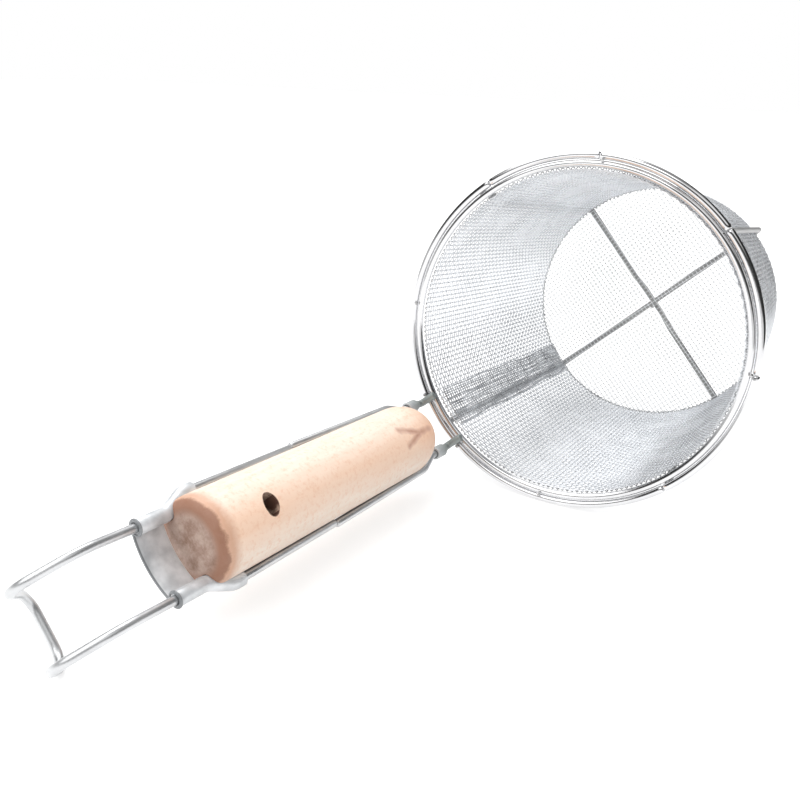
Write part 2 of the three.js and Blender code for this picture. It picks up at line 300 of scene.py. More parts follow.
def bent_wire(corners, steps_per_bend):
    """Points of a wire that runs from corner to corner; a corner is (point, bend radius)."""
    points = []
    for index, (at, bend) in enumerate(corners):
        at = Vector(at)
        if not bend:
            points.append(at)
            continue
        along = (at - Vector(corners[index - 1][0])).normalized()
        onward = (Vector(corners[index + 1][0]) - at).normalized()
        turn = along.angle(onward)
        start = at - along * (bend * math.tan(turn / 2))
        inward = (onward - along * onward.dot(along)).normalized()
        for step in range(steps_per_bend + 1):
            angle = turn * step / steps_per_bend
            points.append(start + along * (bend * math.sin(angle)) + inward * (bend * (1 - math.cos(angle))))
    return points


def ring_path(radius, height, segments):
    """Points of a level circle."""
    angles = np.arange(segments) * (2 * math.pi / segments)
    return np.stack([radius * np.cos(angles), radius * np.sin(angles), np.full(segments, height)], axis=1)


# Materials


class Nodes:
    """Short ways to add and join the nodes of a material or of the world."""

    def __init__(self, tree):
        self.nodes = tree.nodes
        self.links = tree.links

    def add(self, kind, inputs=None, **settings):
        node = self.nodes.new(kind)
        for key, value in settings.items():
            setattr(node, key, value)
        for key, value in (inputs or {}).items():
            self.join(value, node.inputs[key])
        return node

    def join(self, value, socket):
        """Links another socket to the socket, or sets it to a constant."""
        if isinstance(value, bpy.types.NodeSocket):
            self.links.new(value, socket)
        else:
            socket.default_value = value

    def ramp(self, factor, stops):
        """A colour, or a grey level, for each factor, from (factor, colour or level) stops."""
        ramp = self.add("ShaderNodeValToRGB", {"Fac": factor})
        elements = ramp.color_ramp.elements
        while len(elements) < len(stops):
            elements.new(0.5)
        for element, (position, colour) in zip(elements, stops):
            element.position = position
            element.color = (*colour, 1) if isinstance(colour, tuple) else (colour, colour, colour, 1)
        return ramp.outputs["Color"]

    def fade(self, value, start, stop, first=0.0, last=1.0):
        """Goes evenly from first to last while the value goes from start to stop."""
        places = {"Value": value, "From Min": start, "From Max": stop, "To Min": first, "To Max": last}
        return self.add("ShaderNodeMapRange", places).outputs[0]

    def mix(self, factor, first, second):
        node = self.add("ShaderNodeMix", data_type="RGBA")
        self.join(factor, node.inputs["Factor"])
        self.join(first, node.inputs["A"])
        self.join(second, node.inputs["B"])
        return node.outputs["Result"]

    def math(self, operation, first, second):
        return self.add("ShaderNodeMath", {0: first, 1: second}, operation=operation).outputs[0]

    def spread(self, value, pattern, amount):
        """The value with up to amount of the pattern added to it."""
        inputs = {0: pattern, 1: amount, 2: value}
        return self.add("ShaderNodeMath", inputs, operation="MULTIPLY_ADD").outputs[0]

    def vector(self, operation, output, **inputs):
        names = {"first": 0, "second": 1, "scale": "Scale"}
        inputs = {names[key]: value for key, value in inputs.items()}
        return self.add("ShaderNodeVectorMath", inputs, operation=operation).outputs[output]

    def seen_directly(self):
        """1 for camera, glossy and transmission rays, else 0."""
        path = self.add("ShaderNodeLightPath").outputs
        onward = self.math("MAXIMUM", path["Is Glossy Ray"], path["Is Transmission Ray"])
        return self.math("MAXIMUM", path["Is Camera Ray"], onward)


class Shader(Nodes):
    """A material with a Principled shader, whose patterns lie in the handle frame."""

    def __init__(self, name):
        self.material = bpy.data.materials.new(name)
        self.material.use_nodes = True
        super().__init__(self.material.node_tree)
        self.principled = self.nodes["Principled BSDF"]

    def place(self, stretch=(1, 1, 1)):
        """Coordinates in the handle frame, in metres, drawn out by stretch along each of its axes."""
        inputs = {
            "Vector": self.add("ShaderNodeTexCoord").outputs["Object"],
            "Location": HANDLE.translation,
            "Rotation": HANDLE.to_euler(),
            "Scale": stretch,
        }
        return self.add("ShaderNodeMapping", inputs, vector_type="TEXTURE").outputs[0]

    def along(self):
        """The place along the handle, in metres."""
        return self.add("ShaderNodeSeparateXYZ", {"Vector": self.place()}).outputs["Z"]

    def noise(self, scale, detail=3.0, roughness=0.5, stretch=(1, 1, 1)):
        inputs = {"Vector": self.place(stretch), "Scale": scale, "Detail": detail, "Roughness": roughness}
        return self.add("ShaderNodeTexNoise", inputs).outputs["Fac"]

    def distance_to_line(self, first, last, stretch=(1, 1, 1)):
        """Metres to a line between two points that are given in millimetres in the handle frame."""
        first = Vector(part / draw for part, draw in zip(first, stretch)) * MM
        last = Vector(part / draw for part, draw in zip(last, stretch)) * MM
        span = last - first
        from_first = self.vector("SUBTRACT", "Vector", first=self.place(stretch), second=first)
        share = self.vector("DOT_PRODUCT", "Value", first=from_first, second=span / span.length_squared)
        kept = self.add("ShaderNodeClamp", {"Value": share}).outputs[0]
        nearest = self.vector("SCALE", "Vector", first=span, scale=kept)
        return self.vector("DISTANCE", "Value", first=from_first, second=nearest)

    def bump(self, height, distance, strength):
        inputs = {"Height": height, "Distance": distance, "Strength": strength}
        self.links.new(self.add("ShaderNodeBump", inputs).outputs[0], self.principled.inputs["Normal"])

    def set(self, **inputs):
        for key, value in inputs.items():
            self.join(value, self.principled.inputs[key.replace("_", " ")])
        return self.material


# Darker grey for the rear clip's end and its lips, over the last fraction of a millimetre
DARK_END_GREY = (0.16, 0.17, 0.18, 1)
SCORCH = (0.36, 0.39, 0.38, 1)
SCORCHED_ROUGHNESS = (0.6, 0.6, 0.6, 1)
DARK_END_FADE = 0.3


def steel(name, dark, light, smooth, rough, metal=1.0, grain=400.0, patch=60.0, scorched=False,
          dark_beyond=None):
    """Bare steel wire or sheet: its colour and gloss vary in patches and its surface has a fine grain.

    Thin matt wire is given less metal. Scorched steel is dull and dark near the welds at the rim. The steel
    is darker beyond a place along the handle, if one is given."""
    shader = Shader(name)
    patches = shader.noise(patch, detail=4.0)
    colour = shader.ramp(patches, [(0.35, dark), (0.65, light)])
    gloss = shader.ramp(patches, [(0.3, smooth), (0.7, rough)])
    if dark_beyond:
        edge = shader.fade(shader.along(), (dark_beyond - DARK_END_FADE) * MM, dark_beyond * MM, 0.0, 0.8)
        colour = shader.mix(edge, colour, DARK_END_GREY)
    if scorched:
        heat = shader.fade(shader.along(), GRIP_START * MM, FRONT_CLIP_START * MM)
        colour = shader.mix(heat, colour, SCORCH)
        gloss = shader.mix(heat, gloss, SCORCHED_ROUGHNESS)
    shader.bump(shader.noise(grain, detail=2.0), 0.02 * MM, 0.25)
    return shader.set(Metallic=metal, Base_Color=colour, Roughness=gloss)


POLISHED = steel("polished_wire", (0.68, 0.68, 0.69), (0.80, 0.80, 0.81), 0.08, 0.16)
FRAME_STEEL = steel(
    "frame_wire", (0.58, 0.59, 0.60), (0.76, 0.77, 0.78), 0.26, 0.40, metal=0.75, scorched=True,
)
STRAP_STEEL = steel("strap_wire", (0.35, 0.35, 0.35), (0.46, 0.46, 0.46), 0.35, 0.50, metal=0.5)
MESH_STEEL = steel("mesh_wire", (0.78, 0.80, 0.83), (0.88, 0.90, 0.93), 0.30, 0.45, metal=0.3)
HOOP_STEEL = steel("hoop_wire", (0.76, 0.78, 0.81), (0.88, 0.90, 0.93), 0.20, 0.32, metal=0.75)
# The bottom's wires are paler and less metallic than the wall's: painted light against the shade inside the
# basket
BOTTOM_STEEL_PAINTED_LIGHT = steel("floor_wire_painted_light", (0.90, 0.91, 0.92), (0.96, 0.97, 0.98), 0.35, 0.50, metal=0.2)
SEAM_STEEL = steel("seam_wire", (0.42, 0.43, 0.45), (0.80, 0.82, 0.84), 0.25, 0.45, metal=0.6, patch=180.0)
HEM_STEEL = steel("hem_wire", (0.18, 0.18, 0.19), (0.34, 0.35, 0.36), 0.40, 0.55, metal=0.4)
SHEET_STEEL = steel(
    "clip_sheet", (0.62, 0.64, 0.66), (0.90, 0.92, 0.94), 0.32, 0.48, metal=0.3, patch=160.0,
    scorched=True, dark_beyond=REAR_CLIP_END - CLIP_SHEET / 2,
)
WELD_STEEL = steel("weld", (0.45, 0.45, 0.46), (0.66, 0.66, 0.66), 0.20, 0.35, grain=900.0)


PALE_WOOD = [(0.3, (0.94, 0.76, 0.63)), (0.7, (1.0, 0.865, 0.745))]
# Colour of the painted shade in the streak down the grip's back
SHADED_STREAK_WOOD = (1.0, 0.64, 0.44, 1)
DOME_WOOD = (0.94, 0.52, 0.32, 1)
SPECK_BROWN = (0.84, 0.48, 0.30, 1)
EDGE_BROWN = (0.66, 0.37, 0.24, 1)
# The butt's end grain, darker than end grain alone by painted shade, and the painted shade of the ring round
# the face's edge
END_GRAIN_AND_SHADE = [(0.34, (0.29, 0.17, 0.12)), (0.5, (0.44, 0.30, 0.24)), (0.66, (0.58, 0.44, 0.37))]
END_RING_SHADE = (0.34, 0.155, 0.09, 1)
STAIN_BROWN = (0.50, 0.24, 0.17, 1)
# Painted shade in the hanging hole and in the grooves for the wires
BORE_SHADE = (0.13, 0.065, 0.045, 1)
GROOVE_SHADE = (0.10, 0.05, 0.035, 1)
# The redder streak along the grip's back, which is drilled for hanging, is painted shade down the middle of
# that side;
# the pale wood above and below it stands for the light on the top edge and the floor's light on the lower
# edge
SHADED_STREAK_LINE = ((-17.4, 3.5, 30.0), (-18.0, 3.5, 150.0))
# A forked stain on the grip near its front end, as lines between points of the handle frame
STAIN_LINES = (
    ((-17.5, 2.4, 28.0), (-17.5, 2.2, 40.0)),
    ((-17.5, 2.2, 40.0), (-17.5, -2.6, 52.0)),
    ((-17.5, 2.2, 40.0), (-16.8, 5.2, 50.0)),
)


def pale_wood(shader, grain):
    """Fine grain with a redder streak of painted shade, a redder front end and small specks."""
    colour = shader.ramp(grain, PALE_WOOD)
    blotches = shader.noise(45.0, detail=4.0, stretch=(1, 1, 2.5))
    shaded_streak = shader.spread(shader.distance_to_line(*SHADED_STREAK_LINE), blotches, 12 * MM)
    colour = shader.mix(shader.fade(shaded_streak, 17 * MM, 7 * MM, 0.0, 0.65), colour, SHADED_STREAK_WOOD)
    front = shader.spread(shader.along(), blotches, 30 * MM)
    dome = shader.fade(front, (GRIP_START + 2 * GRIP_DOME) * MM, (GRIP_START + GRIP_DOME) * MM, 0.0, 0.55)
    colour = shader.mix(dome, colour, DOME_WOOD)
    specks = shader.noise(600.0, detail=4.0, roughness=0.7)
    return shader.mix(shader.ramp(specks, [(0.5, 0.0), (0.68, 0.45)]), colour, SPECK_BROWN)


def with_shaded_end_grain(shader, colour, mottle):
    """The colour with a brown edge at the butt, and on its face mottled end grain, darkened in part by
    painted shade, in a ring of painted shade.
    """
    edge = shader.spread(shader.along(), mottle, 4 * MM)
    warm = shader.fade(edge, (GRIP_END - 6.0) * MM, (GRIP_END - 1.5) * MM, 0.0, 0.85)
    colour = shader.mix(warm, colour, EDGE_BROWN)
    axis = [(-GRIP_RAISE, 0, along) for along in (GRIP_START, GRIP_END + GRIP_DOME)]
    rim = shader.spread(shader.distance_to_line(*axis), mottle, 5 * MM)
    # The ring of painted shade round the edge of the butt's face
    ring = shader.fade(rim, 12 * MM, 15 * MM, 0.0, 0.85)
    shaded_end_face = shader.mix(ring, shader.ramp(mottle, END_GRAIN_AND_SHADE), END_RING_SHADE)
    butt = shader.fade(edge, (GRIP_END - 0.6) * MM, (GRIP_END + 0.4) * MM)
    return shader.mix(butt, colour, shaded_end_face)


def with_stain(shader, colour):
    """The colour with the forked stain, whose edges are ragged."""
    reach = 1.0
    for first, last in STAIN_LINES:
        reach = shader.math("MINIMUM", shader.distance_to_line(first, last), reach)
    ragged = shader.spread(reach, shader.noise(300.0, detail=5.0), 2.4 * MM)
    return shader.mix(shader.fade(ragged, 3.2 * MM, 1.2 * MM, 0.0, 0.85), colour, STAIN_BROWN)


def with_hollow_shade(shader, colour, mottle):
    """The colour with painted shade in the hanging hole and in the grooves for the wires."""
    drill = [(out, HANGING_HOLE_OFFSET, HOLE_HEIGHT) for out in (-GRIP_REAR_DIAMETER, GRIP_REAR_DIAMETER)]
    bore = shader.spread(shader.distance_to_line(*drill, stretch=(1, 1, HOLE_SQUASH)), mottle, 0.8 * MM)
    dark = shader.fade(bore, (HANGING_HOLE / 2 + 0.7) * MM, (HANGING_HOLE / 2 + 0.4) * MM)
    colour = shader.mix(dark, colour, BORE_SHADE)
    for side in (-1, 1):
        front = (0, side * GRIP_FRONT_SPACING / 2, RAIL_START)
        rear = (0, side * GRIP_REAR_SPACING / 2, GRIP_END)
        groove = shader.distance_to_line(front, rear)
        dark = shader.fade(groove, (WIRE_BORE + 0.5) * MM, (WIRE_BORE + 0.3) * MM)
        colour = shader.mix(dark, colour, GROOVE_SHADE)
    return colour


def wood():
    """Pale turned hardwood with end grain at the butt, a stain and dark hollows, with painted shade in the
    streak down its back, on the butt's face and in the hollows.
    """
    shader = Shader("wood")
    grain = shader.noise(420.0, detail=6.0, roughness=0.6, stretch=(1, 1, 7))
    mottle = shader.noise(210.0, detail=7.0, roughness=0.72)
    colour = with_shaded_end_grain(shader, pale_wood(shader, grain), mottle)
    colour = with_hollow_shade(shader, with_stain(shader, colour), mottle)
    shader.bump(grain, 0.1 * MM, 0.3)
    return shader.set(Base_Color=colour, Roughness=0.5)


WOOD = wood()


# Basket pieces


def wall_radius(depth):
    """Radius of the middle of the mesh wall, which draws in evenly from the rim to the bottom."""
    return WALL_TOP_RADIUS - BOTTOM_DRAW * depth / BASKET_DEPTH


def wall_point(angle, depth, offset):
    """A place in the wall, whose hoops wander a little up and down between the rim and the bottom."""
    around = Vector((math.cos(angle), math.sin(angle), depth / BASKET_DEPTH))
    loose = math.sin(math.pi * min(max(depth / BASKET_DEPTH, 0), 1))
    depth += MESH_SLACK * loose * noise.noise(around * SLACK_WAVES)
    radius = wall_radius(depth) + offset
    return (radius * around.x, radius * around.y, -depth)


def add_wall():
    """Upright wires and hoop wires, woven over and under each other."""
    columns = 2 * round(math.pi * WALL_TOP_RADIUS / MESH_PITCH)
    rows = round(BASKET_DEPTH / MESH_PITCH) + 1
    angles = np.arange(columns) * (2 * math.pi / columns)
    depths = np.linspace(RIM_WIRE / 2, BASKET_DEPTH, rows)
    weave = MESH_WIRE / 2

    def crossing(column, row, side):
        return wall_point(angles[column], depths[row], side * weave * (-1) ** (column + row))

    uprights = []
    for column, angle in enumerate(angles):
        path = [crossing(column, row, 1) for row in range(rows)]
        uprights.append(tube(path, weave, MESH_SIDES, first_normal=(math.cos(angle), math.sin(angle), 0)))
    hoops = []
    for row in range(rows):
        path = [crossing(column, row, -1) for column in range(columns)]
        hoops.append(tube(path, weave, MESH_SIDES, closed=True, first_normal=(0, 0, 1)))
    make_piece("wall_uprights", *join_tubes(uprights), BASKET, MESH_STEEL, "mesh", ["side_mesh"])
    make_piece("wall_hoops", *join_tubes(hoops), BASKET, HOOP_STEEL, "mesh", ["side_mesh"])


def add_seam():
    """The lapped strip: thick uneven uprights and thin hoops whose cut ends stand out to both sides."""
    rng = random.Random(7)
    first = (SEAM_OFFSET - SEAM_WIDTH / 2) / WALL_TOP_RADIUS
    last = (SEAM_OFFSET + SEAM_WIDTH / 2) / WALL_TOP_RADIUS
    top = RIM_WIRE
    bottom = BASKET_DEPTH - MESH_THICKNESS
    offset = -MESH_THICKNESS - GAP
    depths = np.linspace(top, bottom, round(BASKET_DEPTH / MESH_PITCH))
    wires = []
    for angle in np.linspace(first, last, round(SEAM_WIDTH / MESH_PITCH) + 1):
        sway = rng.uniform(0, 100)
        thickness = SEAM_WIRE / 2 * rng.uniform(0.7, 1.15)
        path = []
        for depth in depths:
            drift = SEAM_SWAY * noise.noise((sway, depth / SEAM_SWAY_LENGTH, 0)) / WALL_TOP_RADIUS
            path.append(wall_point(angle + drift, depth, offset))
        normal = (math.cos(angle), math.sin(angle), 0)
        wires.append(tube(path, thickness, SEAM_SIDES, first_normal=normal))
    for depth in depths:
        start = first - rng.uniform(*SEAM_FRAY) / WALL_TOP_RADIUS
        stop = last + rng.uniform(*SEAM_FRAY) / WALL_TOP_RADIUS
        path = [wall_point(angle, depth, offset - MESH_WIRE / 2) for angle in np.linspace(start, stop, 18)]
        wires.append(tube(path, MESH_WIRE / 2 * rng.uniform(0.6, 1.2), MESH_SIDES, first_normal=(0, 0, 1)))
    make_piece("seam_mesh", *join_tubes(wires), BASKET, SEAM_STEEL, "mesh", ["seam_lap"])


def add_bottom():
    """A square weave that is cut to the round of the bottom."""
    reach = BOTTOM_RADIUS - GAP
    weave = BOTTOM_MESH_WIRE / 2
    last = int(reach / MESH_PITCH)
    wires = []
    for line in range(-last, last + 1):
        across = line * MESH_PITCH
        half = math.sqrt(reach ** 2 - across ** 2)
        crossings = int(half / MESH_PITCH)
        places = [-half, *[step * MESH_PITCH for step in range(-crossings, crossings + 1)], half]
        for direction in (1, -1):
            path = []
            for place in places:
                lift = direction * weave * math.cos(math.pi * (line + place / MESH_PITCH))
                spot = (place, across) if direction == 1 else (across, place)
                path.append((*spot, -BASKET_DEPTH + lift))
            wires.append(tube(path, weave, MESH_SIDES, first_normal=(0, 0, 1)))
    make_piece("bottom_wires", *join_tubes(wires), BASKET, BOTTOM_STEEL_PAINTED_LIGHT, "mesh", ["bottom_mesh"])


def add_hem(name, radius, height, replaced):
    """A wire wound over the cut edge of the mesh, one turn to every mesh opening."""
    steps = 10
    turns = round(2 * math.pi * radius / MESH_PITCH)
    angles = np.arange(turns * steps) * (2 * math.pi / (turns * steps))
    wind = angles * turns
    reach = radius + HEM_TURN * np.cos(wind)
    rise = height + HEM_TURN * np.sin(wind)
    path = np.stack([reach * np.cos(angles), reach * np.sin(angles), rise], axis=1)
    wire = tube(path, HEM_WIRE / 2, MESH_SIDES, closed=True)
    make_piece(name, *wire, BASKET, HEM_STEEL, "mesh", [replaced])


def add_hems():
    add_hem("top_hem", WALL_TOP_RADIUS + HEM_TURN, -RIM_WIRE / 2 - HEM_TURN, "side_mesh")
    add_hem("bottom_hem", BOTTOM_RADIUS - HEM_TURN, -BASKET_DEPTH + HEM_TURN, "bottom_mesh")


def ring_length(first, last):
    """A length of the outer ring between two joints, whose ends almost touch its neighbours."""
    degrees_per_step = 1.5
    crack = math.degrees(JOINT_CRACK / 2 / OUTER_RADIUS)
    count = round((last - first) / degrees_per_step)
    angles = np.radians(np.linspace(first + crack, last - crack, count))
    path = [(OUTER_RADIUS * math.cos(angle), OUTER_RADIUS * math.sin(angle), 0) for angle in angles]
    return rounded_wire(path, OUTER_WIRE / 2, WIRE_SIDES)


def add_rings():
    """The whole rim ring, and the outer ring in lengths."""
    circle = ring_path(RIM_RADIUS, 0, 240)
    rim = tube(circle, RIM_WIRE / 2, WIRE_SIDES, closed=True, first_normal=(0, 0, 1))
    make_piece("rim_wire", *rim, BASKET, POLISHED, "ring_wire", ["rim_ring"])
    next_joints = [*RING_JOINTS[1:], RING_JOINTS[0] + 360]
    lengths = [ring_length(first, last) for first, last in zip(RING_JOINTS, next_joints)]
    make_piece("outer_wire", *join_tubes(lengths), BASKET, POLISHED, "ring_wire", ["outer_ring"])


def strap_side():
    """Half of a strap as (radius, height, bend), from its end below the ring to the corner of the bottom."""
    offset = MESH_THICKNESS / 2 + GAP + STRAP_WIRE / 2
    start = (OUTER_RADIUS, -OUTER_WIRE / 2 - 2 * GAP, 0)
    landing = (wall_radius(STRAP_LANDING) + offset, -STRAP_LANDING, 0)
    return [start, landing, (BOTTOM_RADIUS + offset, STRAP_HEIGHT, 0.6 * STRAP_WIRE)]


def add_strap(name, angle, dip, replaced):
    """A strap under the basket, which dips below the other one if a dip is given."""
    dip_reach = 3 * STRAP_WIRE
    under = []
    if dip:
        drops = {2: 0, 1: dip, -1: dip, -2: 0}
        under = [(step * dip_reach, STRAP_HEIGHT - drop, CROSSING_BEND) for step, drop in drops.items()]
    far_side = [(-radius, height, bend) for radius, height, bend in reversed(strap_side())]
    corners = [
        ((radius * math.cos(angle), radius * math.sin(angle), height), bend)
        for radius, height, bend in [*strap_side(), *under, *far_side]
    ]
    wire = tube(bent_wire(corners, 6), STRAP_WIRE / 2, STRAP_SIDES)
    make_piece(name, *wire, BASKET, STRAP_STEEL, "strap_wire", [replaced])


def add_straps():
    add_strap("long_strap_wire", LONG_STRAP_ANGLE, 0, "long_strap")
    add_strap("cross_strap_wire", CROSS_STRAP_ANGLE, STRAP_CROSS, "cross_strap")


def add_welds():
    """A lumpy bead for every weld nub of the solids, each with other lumps."""
    lump_height = 0.22
    lump_count = 1.4
    nubs = [name for name in sorted(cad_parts) if "weld" in name or "tack" in name]
    for index, name in enumerate(nubs):
        low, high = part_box(name)
        size = (high - low).length / math.sqrt(3) / 2
        other_lumps = Vector((index * 7.0, 0, 0))
        shape = bmesh.new()
        bmesh.ops.create_icosphere(shape, subdivisions=3, radius=size)
        for vertex in shape.verts:
            vertex.co *= 1 + lump_height * noise.noise(vertex.co / size * lump_count + other_lumps)
        bmesh.ops.translate(shape, verts=shape.verts, vec=(low + high) / 2)
        mesh = bpy.data.meshes.new(name + "_bead")
        shape.to_mesh(mesh)
        shape.free()
        bead = bpy.data.objects.new(name + "_bead", mesh)
        bpy.context.scene.collection.objects.link(bead)
        finish_piece(bead, WELD_STEEL, [name])


# Handle pieces


def frame_side(side):
    """Corners of the frame wire on one side, from its tip on the rim to the hook's crossbar."""
    lift = OUTER_WIRE / 2 + GAP + FRAME_WIRE / 2
    tip = Vector((RIM_RADIUS - RIM_WIRE - HANDLE_FOOT, side * LEG_SPACING / 2, lift))
    tip.rotate(Matrix.Rotation(-HANDLE_LEAN, 3, "Y"))
    hook_end = REAR_CLIP_END + HOOK_STRAIGHT + HOOK_HEIGHT
    places = [
        (0, LEG_SPACING, lift / math.cos(HANDLE_LEAN), LEG_BEND),
        (0, FRONT_SPACING, FRONT_CLIP_START - GAP, 0),
        (0, FRONT_SPACING, GRIP_START, SHOULDER_BEND),
        (0, GRIP_FRONT_SPACING, RAIL_START, SHOULDER_BEND),
        (0, GRIP_REAR_SPACING, GRIP_END - SLEEVE_REACH, 0),
        (0, GRIP_REAR_SPACING, GRIP_END - SHOULDER_FROM_BUTT, SHOULDER_BEND),
        (0, REAR_SPACING, GRIP_END + CLIP_FROM_BUTT / 2, SHOULDER_BEND),
        (0, REAR_SPACING, REAR_CLIP_END + GAP, 0),
        (-HOOK_DIP, REAR_SPACING, REAR_CLIP_END + HOOK_STRAIGHT, HOOK_DIP_BEND),
        (HOOK_TURN_REACH, REAR_SPACING, hook_end, HOOK_TURN_BEND),
        (HOOK_REACH, REAR_SPACING, hook_end - HOOK_RETURN, HOOK_BAR_BEND),
    ]
    return [(tip, 0)] + [((out, side * spacing / 2, along), bend) for out, spacing, along, bend in places]


FRAME_POINTS = bent_wire([*frame_side(-1), *reversed(frame_side(1))], 16)


def add_frame_wire():
    """The hook's length meets the two lengths that come from the rim beside the middle of the grip."""
    joints = {side: Vector((0, side * JOINT_SPACING / 2, FRAME_JOINT)) for side in (-1, 1)}
    shift = Vector((0, 0, JOINT_CRACK / 2))
    hook = [point for point in FRAME_POINTS if point.z > FRAME_JOINT]
    lengths = [[joints[-1] + shift, *hook, joints[1] + shift]]
    for side in (-1, 1):
        leg = [point for point in FRAME_POINTS if point.z < FRAME_JOINT and side * point.y > 0]
        leg = leg if side < 0 else leg[::-1]
        lengths.append([*leg, joints[side] + Vector((0, side * JOINT_STEP, 0)) - shift])
    wires = [rounded_wire(length, FRAME_WIRE / 2, WIRE_SIDES) for length in lengths]
    make_piece("handle_wire", *join_tubes(wires), HANDLE, FRAME_STEEL, "frame_wire", ["frame_wire"])


def bend_path(side):
    """The part of the frame wire that bends in behind the grip's shoulder."""
    low = GRIP_END - SLEEVE_REACH - GAP
    high = REAR_CLIP_START + FRAME_WIRE
    return [point for point in FRAME_POINTS if side * point.y > 0 and low < point.z < high]


def clip_sheet(spacing, start, length):
    """A sheet that bridges the two wires on the outer side and is rolled round each of them."""
    half = spacing / 2
    roll = np.linspace(CLIP_ROLL, 0, SLEEVE_SIDES)
    bridge = np.linspace(1, -1, 13)[1:-1]

    def skin(radius):
        left = [(radius * math.cos(angle), half + radius * math.sin(angle)) for angle in roll]
        middle = [(radius + CLIP_SAG * (1 - across ** 2), half * across) for across in bridge]
        return [*left, *middle, *[(out, -across) for out, across in reversed(left)]]

    outline = [*skin(SLEEVE_RADIUS), *reversed(skin(WIRE_BORE))]
    count = len(outline)
    vertices = [(out, across, along) for along in (start, start + length) for out, across in outline]
    faces = []
    for index in range(count):
        after = (index + 1) % count
        faces.append([index, after, after + count, index + count])
    pairs = count // 2 - 1
    for index in range(pairs):
        cap = [index, count - 1 - index, count - 2 - index, index + 1]
        faces.append(cap)
        faces.append([corner + count for corner in reversed(cap)])
    return np.array(vertices), faces


def add_clip(name, bodies, replaced):
    """A clip of one or more bodies, with slightly rounded edges."""
    clip = make_piece(name, *join_tubes(bodies), HANDLE, SHEET_STEEL, "clip_sheet", [replaced])
    edge = clip.modifiers.new("edge", "BEVEL")
    edge.width = CLIP_EDGE * MM
    edge.segments = 2
    edge.limit_method = "ANGLE"


def clip_cone(side):
    """Solder that fills the step from the front clip's roll to the wire, on the rim's side."""
    wide = (0, side * FRONT_SPACING / 2, FRONT_CLIP_START + CLIP_SHEET)
    narrow = (0, side * FRONT_SPACING / 2, FRONT_CLIP_START - SOLDER_REACH)
    return tube([wide, narrow], [SLEEVE_RADIUS, FRAME_WIRE / 2], WIRE_SIDES)


def clip_lip(side):
    """The flared end of a roll of the rear clip, towards the hook."""
    circle = ring_path(SLEEVE_RADIUS, REAR_CLIP_END - CLIP_SHEET / 2, SLEEVE_SIDES)
    lip = circle + (0, side * REAR_SPACING / 2, 0)
    return tube(lip, CLIP_SHEET / 2, 10, closed=True, first_normal=(0, 0, 1))


def add_clips():
    """The rear clip's rolls run on as sleeves round the bends of the wires, up the sides of the grip."""
    sides = (-1, 1)
    front = clip_sheet(FRONT_SPACING, FRONT_CLIP_START, FRONT_CLIP_LENGTH)
    add_clip("front_sheet", [front, *map(clip_cone, sides)], "front_clip")
    rear = clip_sheet(REAR_SPACING, REAR_CLIP_START, REAR_CLIP_LENGTH)
    sleeves = [sleeve(bend_path(side), WIRE_BORE, SLEEVE_RADIUS, SLEEVE_SIDES) for side in sides]
    add_clip("rear_sheet", [rear, *sleeves, *map(clip_lip, sides)], "rear_clip")


def turned(outline, segments):
    """A closed body turned about Z from (radius, height) points that start and end on the axis."""
    angles = np.arange(segments) * (2 * math.pi / segments)
    vertices = [(0, 0, outline[0][1])]
    for radius, height in outline[1:-1]:
        vertices.extend((radius * math.cos(angle), radius * math.sin(angle), height) for angle in angles)
    vertices.append((0, 0, outline[-1][1]))
    faces = []
    for column in range(segments):
        after = (column + 1) % segments
        faces.append([0, 1 + after, 1 + column])
        for row in range(len(outline) - 3):
            low = 1 + row * segments
            high = low + segments
            faces.append([low + column, low + after, high + after, high + column])
        top = 1 + (len(outline) - 3) * segments
        faces.append([top + column, top + after, len(vertices) - 1])
    return vertices, faces


def cut_with(piece, vertices, faces):
    """Cuts a closed body, given in the handle frame, out of the piece."""
    cutter = add_body("cutter", vertices, faces, HANDLE)
    cut = piece.modifiers.new("cut", "BOOLEAN")
    cut.operation = "DIFFERENCE"
    cut.object = cutter
    graph = bpy.context.evaluated_depsgraph_get()
    result = bpy.data.meshes.new_from_object(piece.evaluated_get(graph))
    piece.modifiers.remove(cut)
    piece.data = result
    bpy.data.objects.remove(cutter)


def grip_outline():
    """The grip's (radius, height) points: a domed front, a slight taper and a rounded flat butt."""
    front = GRIP_FRONT_DIAMETER / 2
    rear = GRIP_REAR_DIAMETER / 2
    quarter = np.linspace(0, math.pi / 2, 14)
    outline = [(front * math.sin(angle), GRIP_START + GRIP_DOME * (1 - math.cos(angle))) for angle in quarter]
    body = np.linspace(GRIP_START + GRIP_DOME, GRIP_END - BUTT_ROUND, 40)[1:-1]
    for along in body:
        share = (along - body[0]) / (body[-1] - body[0])
        outline.append((front + (rear - front) * share, along))
    for angle in quarter:
        radius = rear - BUTT_ROUND * (1 - math.cos(angle))
        outline.append((radius, GRIP_END - BUTT_ROUND * (1 - math.sin(angle))))
    for radius in np.linspace(rear - BUTT_ROUND, 0, 6)[1:]:
        outline.append((radius, GRIP_END))
    return outline


def hanging_hole():
    """A hole drilled through the grip, a little squashed along it and with a ragged edge."""
    rng = random.Random(4)
    places = np.linspace(-GRIP_REAR_DIAMETER, GRIP_REAR_DIAMETER, 40)
    drill = [(out, HANGING_HOLE_OFFSET, HOLE_HEIGHT) for out in places]
    vertices, faces = tube(drill, HANGING_HOLE / 2, SLEEVE_SIDES)
    centre = np.array([HANGING_HOLE_OFFSET, HOLE_HEIGHT])
    ragged = [rng.uniform(0.92, 1.06) for _ in range(SLEEVE_SIDES)]
    for index, vertex in enumerate(vertices):
        vertex[1:] = centre + (vertex[1:] - centre) * ragged[index % SLEEVE_SIDES] * (1, HOLE_SQUASH)
    return vertices, faces


